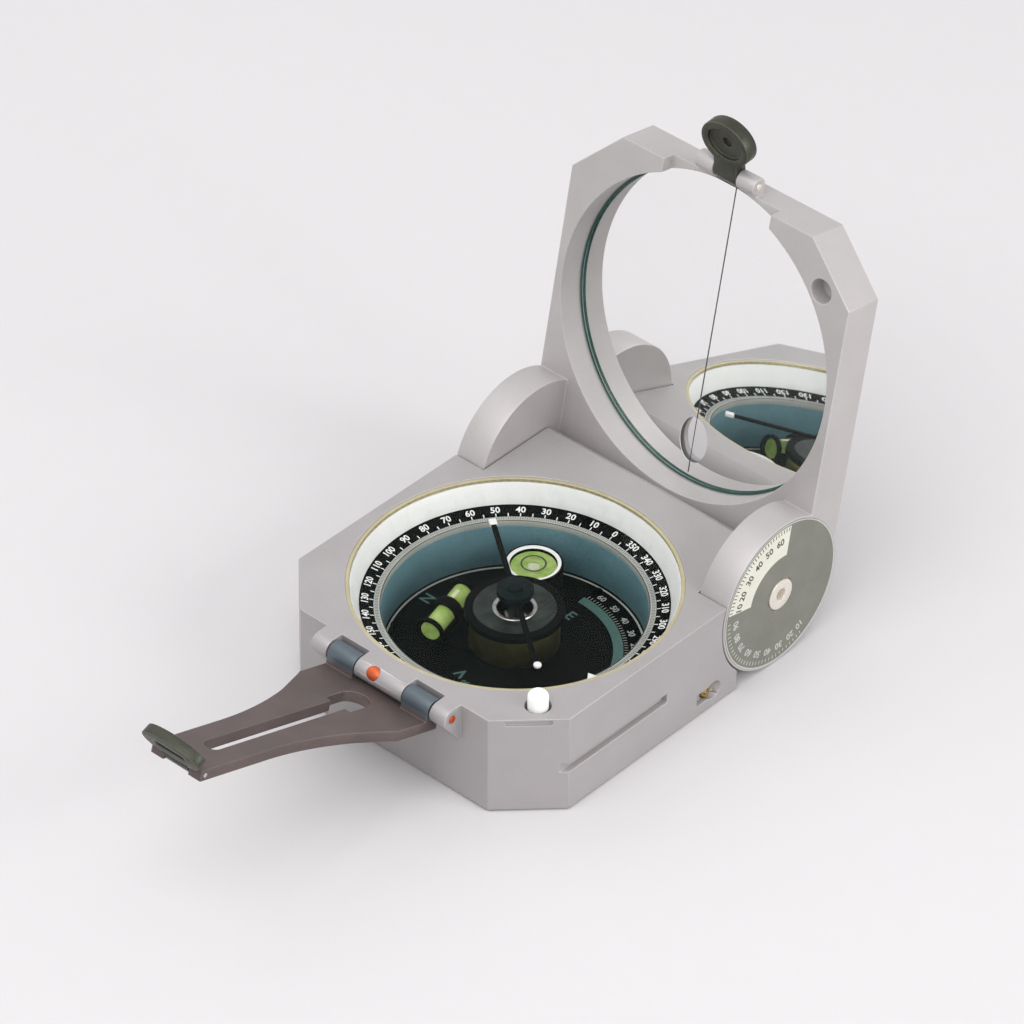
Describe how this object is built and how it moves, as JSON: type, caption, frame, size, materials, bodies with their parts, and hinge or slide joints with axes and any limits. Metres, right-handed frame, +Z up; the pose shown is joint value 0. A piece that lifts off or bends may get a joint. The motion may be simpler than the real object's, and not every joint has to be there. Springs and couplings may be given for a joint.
{
  "type": "geology compass",
  "caption": "Folding pocket transit: aluminium case with needle compass and spirit levels, hinged mirror lid, long folding sight and two small peep sights.",
  "frame": {"origin": "on the case underside, below the centre of the dial", "axes": "+Z up, out of the dial; +Y towards the lid hinge; +X towards the scale-disc side; -Y towards the long sight"},
  "size_m": [0.0716, 0.162, 0.1009],
  "materials": {
    "case_aluminium": "satin anodised, bead blasted",
    "sight_metal": "brown-grey anodised",
    "sight_dark": "dark olive anodised",
    "steel": "satin",
    "brass": "satin",
    "copper": "satin copper",
    "clear_glass": "clear",
    "mirror_glass": "clear, green edge",
    "silvering": "silvered",
    "black_enamel": "satin black",
    "white_enamel": "gloss white",
    "teal_enamel": "satin teal grey",
    "pale_tick": "satin pale grey",
    "green_fluid": "lime green level fluid",
    "bubble": "clear",
    "scale_label": "olive grey",
    "rubber": "matt"
  },
  "bodies": {
    "case": {"case_body": "case_aluminium", "glass_gasket": "brass", "cover_glass": "clear_glass", "white_ring": "white_enamel", "index_tab": "white_enamel", "dial_plate": "black_enamel", "dial_posts": "black_enamel", "round_level_housing": "black_enamel", "round_level_vial": "clear_glass", "round_level_fluid": "green_fluid", "round_level_bubble": "bubble", "lift_spring": "steel", "lift_spring_seat": "brass", "lift_axle": "steel", "lift_bracket": "steel", "hinge_screw_left": "steel", "hinge_screw_right": "steel", "hinge_washer_left": "steel", "hinge_washer_right": "steel", "long_sight_pin": "copper", "friction_plug": "copper"},
    "lid": {"lid_frame": "case_aluminium", "mirror_glass": "mirror_glass", "mirror_silvering": "silvering", "mirror_cushion": "rubber", "sight_line": "black_enamel", "scale_disc": "scale_label", "plain_disc": "scale_label", "lid_sight_pin": "steel"},
    "lid_sight": {"lid_sight": "sight_dark"},
    "long_sight": {"long_sight_arm": "sight_metal", "peep_pin": "steel"},
    "peep": {"peep_sight": "sight_dark"},
    "needle": {"needle_bar": "black_enamel", "needle_north_tip": "white_enamel", "needle_counterweight": "white_enamel", "needle_hub": "black_enamel", "needle_magnet": "steel"},
    "clinometer": {"clinometer_spindle": "brass", "clinometer_lever": "steel", "vernier_arm": "black_enamel", "damping_cup": "brass", "damping_rim": "black_enamel", "damping_lid": "steel", "needle_pivot": "steel", "long_level_holder": "black_enamel", "long_level_vial": "clear_glass", "long_level_fluid": "green_fluid", "long_level_bubble": "bubble"},
    "azimuth_ring": {"azimuth_card": "black_enamel", "tick_ring": "pale_tick", "well_liner": "teal_enamel", "crown_gear": "brass"},
    "declination": {"declination_pinion": "steel", "declination_screw": "brass"},
    "lift_pin": {"lift_pin": "white_enamel"},
    "lift_lever": {"lift_lever": "steel"}
  },
  "joints": [
    {"name": "lid_hinge", "type": "hinge", "parent": "case", "child": "lid", "pos_m": [0, 0.03765, 0.0169], "axis": [-1, 0, 0], "range_deg": [-100.7, 79.3]},
    {"name": "lid_sight_hinge", "type": "hinge", "parent": "lid", "child": "lid_sight", "pos_m": [0, 0.06063, 0.08843], "axis": [1, 0, 0], "range_deg": [-103, 75]},
    {"name": "long_sight_hinge", "type": "hinge", "parent": "case", "child": "long_sight", "pos_m": [0, -0.037, 0.0206], "axis": [-1, 0, 0], "range_deg": [-18, 156]},
    {"name": "peep_hinge", "type": "hinge", "parent": "long_sight", "child": "peep", "pos_m": [0, -0.09212, 0.03478], "axis": [1, 0, 0], "range_deg": [-45, 50]},
    {"name": "needle_spin", "type": "hinge", "parent": "case", "child": "needle", "pos_m": [0, 0, 0.0195], "axis": [0, 0, 1], "continuous": true},
    {"name": "clinometer_turn", "type": "hinge", "parent": "case", "child": "clinometer", "pos_m": [0, 0, 0.0065], "axis": [0, 0, 1], "range_deg": [-30, 120]},
    {"name": "azimuth_turn", "type": "hinge", "parent": "case", "child": "azimuth_ring", "pos_m": [0, 0, 0.0165], "axis": [0, 0, 1], "continuous": true},
    {"name": "declination_turn", "type": "hinge", "parent": "case", "child": "declination", "pos_m": [0.02663, 0.01381, 0.0043], "axis": [0.8878, 0.4602, 0], "continuous": true},
    {"name": "lift_pin_slide", "type": "slide", "parent": "case", "child": "lift_pin", "axis": [0, 0, -1], "range_m": [0, 0.0015], "stiffness_N_per_m": 300, "springref_m": -0.0005, "deforming": ["lift_spring"]},
    {"name": "lift_lever_rock", "type": "hinge", "parent": "case", "child": "lift_lever", "pos_m": [0.00678, -0.00592, 0.00375], "axis": [0.6576, 0.7534, 0], "range_deg": [0, 3.2]}
  ],
  "couplings": [
    {"joint": "declination_turn", "follows": "azimuth_turn", "ratio": -12},
    {"joint": "lift_lever_rock", "follows": "lift_pin_slide", "rad_per_m": 35}
  ]
}
